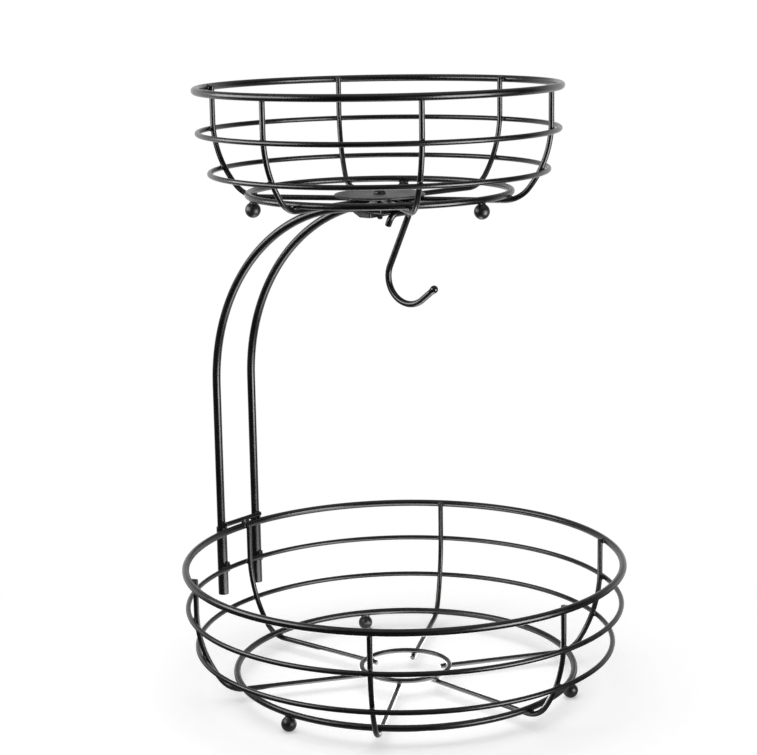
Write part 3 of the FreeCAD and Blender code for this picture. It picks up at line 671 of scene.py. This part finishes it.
def seen_by(tree, path, gloss):
    """The share that a ray sees: all of it from the camera or through glass, and what gloss
    says in a reflection."""
    gloss = link(tree, "MULTIPLY", path.outputs["Is Glossy Ray"], gloss)
    return link(tree, "MAXIMUM", gloss, link(tree, "MAXIMUM", path.outputs["Is Camera Ray"],
                                             path.outputs["Is Transmission Ray"]))


def table_paper(colour, glow, near, far):
    """Matt white paper. What the camera, gloss and glass see of it also glows a little, so
    that it reads as white and keeps the shadow. From near to far it turns white throughout.
    A reflection shows its middle and the side of the wall."""
    material = bpy.data.materials.new("table_paper")
    material.use_nodes = True
    tree = material.node_tree
    tree.nodes.remove(tree.nodes["Principled BSDF"])
    path = add(tree, "ShaderNodeLightPath")
    spot = add(tree, "ShaderNodeTexCoord").outputs["Object"]
    length = add(tree, "ShaderNodeVectorMath", operation="LENGTH")
    tree.links.new(spot, length.inputs[0])
    away = length.outputs["Value"]
    under = between(tree, away, 0.09, 0.15, 1.0, 0.1)
    seen = seen_by(tree, path, link(tree, "MAXIMUM", under, behind(tree, spot)))
    outer = between(tree, away, near, far, 0.0, 1.0)
    diffuse = add(tree, "ShaderNodeBsdfDiffuse")
    tone = add(tree, "ShaderNodeMix", data_type="RGBA")
    tree.links.new(link(tree, "MAXIMUM", seen, path.outputs["Is Diffuse Ray"]),
                   tone.inputs["Factor"])
    tone.inputs[6].default_value = (0, 0, 0, 1)
    tone.inputs[7].default_value = (colour, colour, colour, 1)
    tree.links.new(tone.outputs[2], diffuse.inputs["Color"])
    soft = add(tree, "ShaderNodeEmission")
    tree.links.new(link(tree, "MULTIPLY", seen, glow), soft.inputs["Strength"])
    lit = add(tree, "ShaderNodeAddShader")
    tree.links.new(diffuse.outputs[0], lit.inputs[0])
    tree.links.new(soft.outputs[0], lit.inputs[1])
    white = add(tree, "ShaderNodeEmission")
    tree.links.new(seen, white.inputs["Strength"])
    mix = add(tree, "ShaderNodeMixShader")
    tree.links.new(outer, mix.inputs["Fac"])
    tree.links.new(lit.outputs[0], mix.inputs[1])
    tree.links.new(white.outputs[0], mix.inputs[2])
    tree.links.new(mix.outputs[0], tree.nodes["Material Output"].inputs["Surface"])
    return material


def studio_table(sides=96):
    mesh = bpy.data.meshes.new("studio_table")
    angles = [2 * math.pi * k / sides for k in range(sides)]
    mesh.from_pydata([(TABLE * math.cos(a), TABLE * math.sin(a), -TABLE_UNDER) for a in angles],
                     [], [tuple(range(sides))])
    mesh.materials.append(table_paper(colour=0.8, glow=0.42, near=0.25, far=0.37))
    table = bpy.data.objects.new("studio_table", mesh)
    bpy.context.scene.collection.objects.link(table)


def surroundings():
    """White to the camera. A reflection shows a wall behind the object, which grows dimmer
    upwards, and a roof, and the matt surfaces get a little light from all around."""
    world = bpy.data.worlds.new("studio")
    bpy.context.scene.world = world
    world.use_nodes = True
    tree = world.node_tree
    path = add(tree, "ShaderNodeLightPath")
    way = add(tree, "ShaderNodeTexCoord").outputs["Generated"]
    parts = add(tree, "ShaderNodeSeparateXYZ")
    tree.links.new(way, parts.inputs[0])
    rise = parts.outputs["Z"]
    wall = link(tree, "MULTIPLY", behind(tree, way), between(tree, rise, 0.2, 0.45, 1.0, 0.35))
    wall = link(tree, "MULTIPLY", wall, between(tree, rise, -0.8, -0.5, 0.0, 1.0))
    roof = between(tree, rise, 0.55, 0.9, 0.03, 0.6)
    seen = seen_by(tree, path, link(tree, "MAXIMUM", wall, roof))
    fill = link(tree, "MULTIPLY", path.outputs["Is Diffuse Ray"], 0.1)
    background = tree.nodes["Background"]
    tree.links.new(link(tree, "MAXIMUM", seen, fill), background.inputs["Strength"])
    background.inputs["Color"].default_value = (1, 1, 1, 1)


def lamp(name, azimuth, distance, height, aim, size, level, gloss):
    """A soft box of an even level, seen from the object in the direction given in degrees.
    One kind lights the matt surfaces, the other is what the gloss shows."""
    light = bpy.data.lights.new(name, "AREA")
    light.shape = "RECTANGLE"
    light.size, light.size_y = size
    light.energy = level * math.pi * size[0] * size[1]
    obj = bpy.data.objects.new(name, light)
    turn = math.radians(azimuth)
    obj.location = (distance * math.cos(turn), distance * math.sin(turn), height)
    obj.rotation_euler = (Vector(aim) - obj.location).to_track_quat("-Z", "Y").to_euler()
    obj.visible_glossy = gloss
    obj.visible_diffuse = not gloss
    obj.visible_camera = False
    bpy.context.scene.collection.objects.link(obj)


studio_table()
surroundings()
lamp("top_box", azimuth=0, distance=0.0, height=1.6, aim=(0, 0, 0.1), size=(2.2, 2.2),
     level=1.7, gloss=False)
lamp("side_box", azimuth=150, distance=1.3, height=0.9, aim=(0, 0, 0.2), size=(1.0, 1.0),
     level=1.2, gloss=False)
lamp("left_reflector", azimuth=140, distance=0.62, height=0.47, aim=(0, 0, 0.3),
     size=(0.74, 0.34), level=7.5, gloss=True)
lamp("low_reflector", azimuth=0, distance=0.0, height=0.003, aim=(0, 0, 0.2),
     size=(0.16, 0.16), level=6.0, gloss=True)
lamp("right_reflector", azimuth=-88, distance=1.45, height=-0.05, aim=(0, 0, 0.1),
     size=(0.95, 1.15), level=13.0, gloss=True)

# Camera, fitted to the rings and posts in the picture
CAMERA_SPOT = (-0.978458, -0.771935, 0.469888)      # metres
CAMERA_LENS = 91.1634       # for a film 36 mm wide
CAMERA_TURN, CAMERA_TILT, CAMERA_ROLL = 38.967357, -11.642359, -0.969848    # degrees

camera = bpy.data.cameras.new("camera")
camera.sensor_width = 36.0
camera.sensor_fit = "HORIZONTAL"
camera.lens = CAMERA_LENS
camera.clip_end = 50.0
eye = bpy.data.objects.new("camera", camera)
eye.matrix_world = (Matrix.Translation(CAMERA_SPOT)
                    @ Matrix.Rotation(math.radians(CAMERA_TURN - 90), 4, "Z")
                    @ Matrix.Rotation(math.radians(CAMERA_TILT + 90), 4, "X")
                    @ Matrix.Rotation(math.radians(CAMERA_ROLL), 4, "Z"))
bpy.context.scene.collection.objects.link(eye)
bpy.context.scene.camera = eye

bpy.context.scene.view_settings.view_transform = "Standard"
